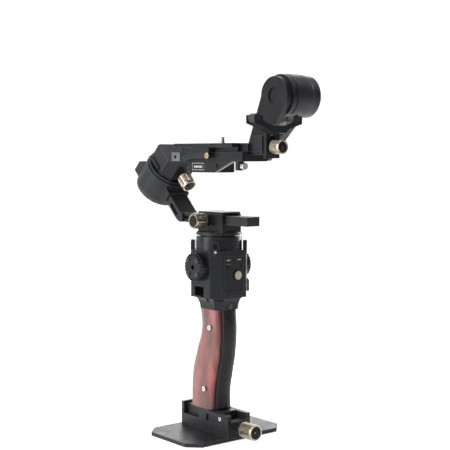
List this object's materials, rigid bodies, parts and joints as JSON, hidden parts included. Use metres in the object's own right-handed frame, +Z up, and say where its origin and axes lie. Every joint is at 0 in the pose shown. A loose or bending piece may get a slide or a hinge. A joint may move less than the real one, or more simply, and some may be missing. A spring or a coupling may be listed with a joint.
{
  "type": "gimbal stabilizer",
  "caption": "Handheld three-axis camera gimbal with wooden grip, control head, slanted roll arm, tilting camera platform with lens support, and a flat base plate.",
  "frame": {"origin": "on the pan axis, at the underside of the base plate", "axes": "+Z up along the pan axis, -Y forward where the lens looks, +X to the operator's left where the tilt motor is"},
  "size_m": [0.1765, 0.2158, 0.363],
  "materials": {
    "black_metal": "satin black anodised",
    "dark_metal": "satin dark grey anodised",
    "grey_metal": "bead blasted",
    "bronze": "satin champagne",
    "brass": "satin",
    "steel": "brushed",
    "rosewood": "satin oiled",
    "rubber": "matte",
    "black_plastic": "matte",
    "red_plastic": "gloss",
    "cell_wrap": "gloss",
    "board": "satin"
  },
  "bodies": {
    "base": {"base_plate": "dark_metal", "base_pad": "rubber", "base_clamp_body": "dark_metal", "base_clamp_bolts": "steel", "handle_foot": "dark_metal", "handle_frame": "black_metal", "grip_panel_right": "rosewood", "grip_panel_left": "rosewood", "grip_screws": "steel", "battery_cells": "cell_wrap", "control_board": "board", "head_housing": "black_metal", "front_panel": "black_plastic", "rosette_right": "dark_metal", "rosette_left": "dark_metal", "rosette_screws": "steel", "joystick_boot": "rubber", "usb_socket": "grey_metal", "pan_motor_stator": "black_metal", "pan_bearing": "steel"},
    "base_knob": {"base_clamp_knob": "bronze", "base_clamp_screw": "steel"},
    "base_pressure_pad": {"base_clamp_pad": "brass"},
    "joystick_ring": {"joystick_ring": "black_plastic"},
    "joystick": {"joystick": "rubber"},
    "trigger": {"trigger": "black_plastic"},
    "mode_button": {"mode_button": "red_plastic"},
    "neck_button": {"neck_button": "black_plastic"},
    "power_button": {"power_button": "bronze"},
    "pan_lock": {"pan_lock_latch": "black_metal"},
    "pan_stage": {"pan_rotor": "black_metal", "pan_clamp_body": "black_metal", "pan_clamp_cap": "dark_metal"},
    "pan_knob": {"pan_clamp_knob": "bronze"},
    "pan_pressure_pad": {"pan_clamp_pad": "brass"},
    "pan_arm": {"pan_arm": "dark_metal", "roll_motor_housing": "dark_metal", "roll_motor_cover": "dark_metal", "roll_bearing": "steel"},
    "roll_stage": {"roll_rotor": "black_metal", "roll_clamp_body": "black_metal"},
    "roll_knob": {"roll_clamp_knob": "bronze"},
    "roll_pressure_pad": {"roll_clamp_pad": "brass"},
    "roll_arm": {"roll_arm": "dark_metal", "tilt_motor_housing": "dark_metal", "tilt_bearing": "steel"},
    "tilt_stage": {"tilt_rotor": "black_metal", "tilt_bracket": "black_metal", "platform_rail": "black_metal", "rail_stop_block": "grey_metal", "lever_pivot": "brass"},
    "platform_lever": {"platform_lever": "dark_metal"},
    "camera_plate": {"camera_plate": "black_metal"},
    "camera_screw": {"camera_screw": "steel"},
    "lens_carriage": {"lens_carriage": "black_metal"},
    "lens_knob": {"lens_carriage_knob": "bronze"},
    "lens_post": {"lens_post": "black_metal"},
    "roller_right": {"lens_rollers_right": "rubber"},
    "roller_left": {"lens_rollers_left": "rubber"},
    "rail_screw": {"rail_screw": "steel"}
  },
  "joints": [
    {"name": "base_knob_turn", "type": "hinge", "parent": "base", "child": "base_knob", "pos_m": [0, -0.038, 0.0116], "axis": [0, -1, 0], "range_deg": [0, 720]},
    {"name": "base_pad_travel", "type": "slide", "parent": "base", "child": "base_pressure_pad", "axis": [0, -1, 0], "range_m": [0, 0.0025]},
    {"name": "joystick_ring_tilt", "type": "hinge", "parent": "base", "child": "joystick_ring", "pos_m": [0, 0.0165, 0.17], "axis": [1, 0, 0], "range_deg": [-10, 10], "stiffness_Nm_per_rad": 0.02},
    {"name": "joystick_tilt", "type": "hinge", "parent": "joystick_ring", "child": "joystick", "pos_m": [0, 0.0165, 0.17], "axis": [0, 0, 1], "range_deg": [-10, 10], "stiffness_Nm_per_rad": 0.02},
    {"name": "trigger_pull", "type": "hinge", "parent": "base", "child": "trigger", "pos_m": [0.0228, -0.01, 0.1555], "axis": [0, 1, 0], "range_deg": [0, 12], "stiffness_Nm_per_rad": 0.05},
    {"name": "mode_button_press", "type": "slide", "parent": "base", "child": "mode_button", "axis": [0, -1, 0], "range_m": [0, 0.0012], "stiffness_N_per_m": 300},
    {"name": "neck_button_press", "type": "slide", "parent": "base", "child": "neck_button", "axis": [0, 1, 0], "range_m": [0, 0.0012], "stiffness_N_per_m": 300},
    {"name": "power_button_press", "type": "slide", "parent": "base", "child": "power_button", "axis": [0, 1, 0], "range_m": [0, 0.0005], "stiffness_N_per_m": 300},
    {"name": "pan_lock_slide", "type": "slide", "parent": "base", "child": "pan_lock", "axis": [0, 0, 1], "range_m": [0, 0.005]},
    {"name": "pan", "type": "hinge", "parent": "base", "child": "pan_stage", "pos_m": [0, 0, 0.2], "axis": [0, 0, 1], "continuous": true},
    {"name": "pan_knob_turn", "type": "hinge", "parent": "pan_stage", "child": "pan_knob", "pos_m": [-0.017, 0.0015, 0.2147], "axis": [-1, 0, 0], "range_deg": [0, 360]},
    {"name": "pan_pad_travel", "type": "slide", "parent": "pan_stage", "child": "pan_pressure_pad", "axis": [-1, 0, 0], "range_m": [0, 0.0008]},
    {"name": "pan_arm_slide", "type": "slide", "parent": "pan_stage", "child": "pan_arm", "axis": [0, 1, 0], "range_m": [-0.028, 0.018]},
    {"name": "roll", "type": "hinge", "parent": "pan_arm", "child": "roll_stage", "pos_m": [0, 0.081, 0.2665], "axis": [0, -0.7071, 0.7071], "range_deg": [-35, 35]},
    {"name": "roll_knob_turn", "type": "hinge", "parent": "roll_stage", "child": "roll_knob", "pos_m": [0, 0.05858, 0.2571], "axis": [0, -0.7071, -0.7071], "range_deg": [0, 360]},
    {"name": "roll_pad_travel", "type": "slide", "parent": "roll_stage", "child": "roll_pressure_pad", "axis": [0, -0.7071, -0.7071], "range_m": [0, 0.0008]},
    {"name": "roll_arm_slide", "type": "slide", "parent": "roll_stage", "child": "roll_arm", "axis": [1, 0, 0], "range_m": [-0.01, 0.01]},
    {"name": "tilt", "type": "hinge", "parent": "roll_arm", "child": "tilt_stage", "pos_m": [0, 0, 0.34], "axis": [1, 0, 0], "range_deg": [-30, 30]},
    {"name": "platform_lever_swing", "type": "hinge", "parent": "tilt_stage", "child": "platform_lever", "pos_m": [-0.02275, -0.013, 0.2785], "axis": [-1, 0, 0], "range_deg": [0, 60]},
    {"name": "camera_plate_slide", "type": "slide", "parent": "tilt_stage", "child": "camera_plate", "axis": [0, 1, 0], "range_m": [0, 0.015]},
    {"name": "camera_screw_slide", "type": "slide", "parent": "camera_plate", "child": "camera_screw", "axis": [0, 1, 0], "range_m": [-0.022, 0.022]},
    {"name": "lens_carriage_slide", "type": "slide", "parent": "tilt_stage", "child": "lens_carriage", "axis": [0, -1, 0], "range_m": [0, 0.012]},
    {"name": "lens_knob_turn", "type": "hinge", "parent": "lens_carriage", "child": "lens_knob", "pos_m": [0, -0.0802, 0.2865], "axis": [0, -1, 0], "range_deg": [0, 360]},
    {"name": "lens_post_height", "type": "slide", "parent": "lens_carriage", "child": "lens_post", "axis": [0, 0, -1], "range_m": [0, 0.005]},
    {"name": "roller_right_spin", "type": "hinge", "parent": "lens_post", "child": "roller_right", "pos_m": [-0.0243, -0.082, 0.3125], "axis": [0, 1, 0], "continuous": true},
    {"name": "roller_left_spin", "type": "hinge", "parent": "lens_post", "child": "roller_left", "pos_m": [0.0243, -0.082, 0.3125], "axis": [0, 1, 0], "continuous": true},
    {"name": "rail_screw_turn", "type": "hinge", "parent": "tilt_stage", "child": "rail_screw", "pos_m": [-0.015, -0.0565, 0.2685], "axis": [0, -1, 0], "range_deg": [0, 720]}
  ],
  "couplings": [
    {"joint": "base_pad_travel", "follows": "base_knob_turn", "m_per_rad": 0.00019892},
    {"joint": "pan_pad_travel", "follows": "pan_knob_turn", "m_per_rad": 0.00012731},
    {"joint": "roll_pad_travel", "follows": "roll_knob_turn", "m_per_rad": 0.00012731}
  ]
}
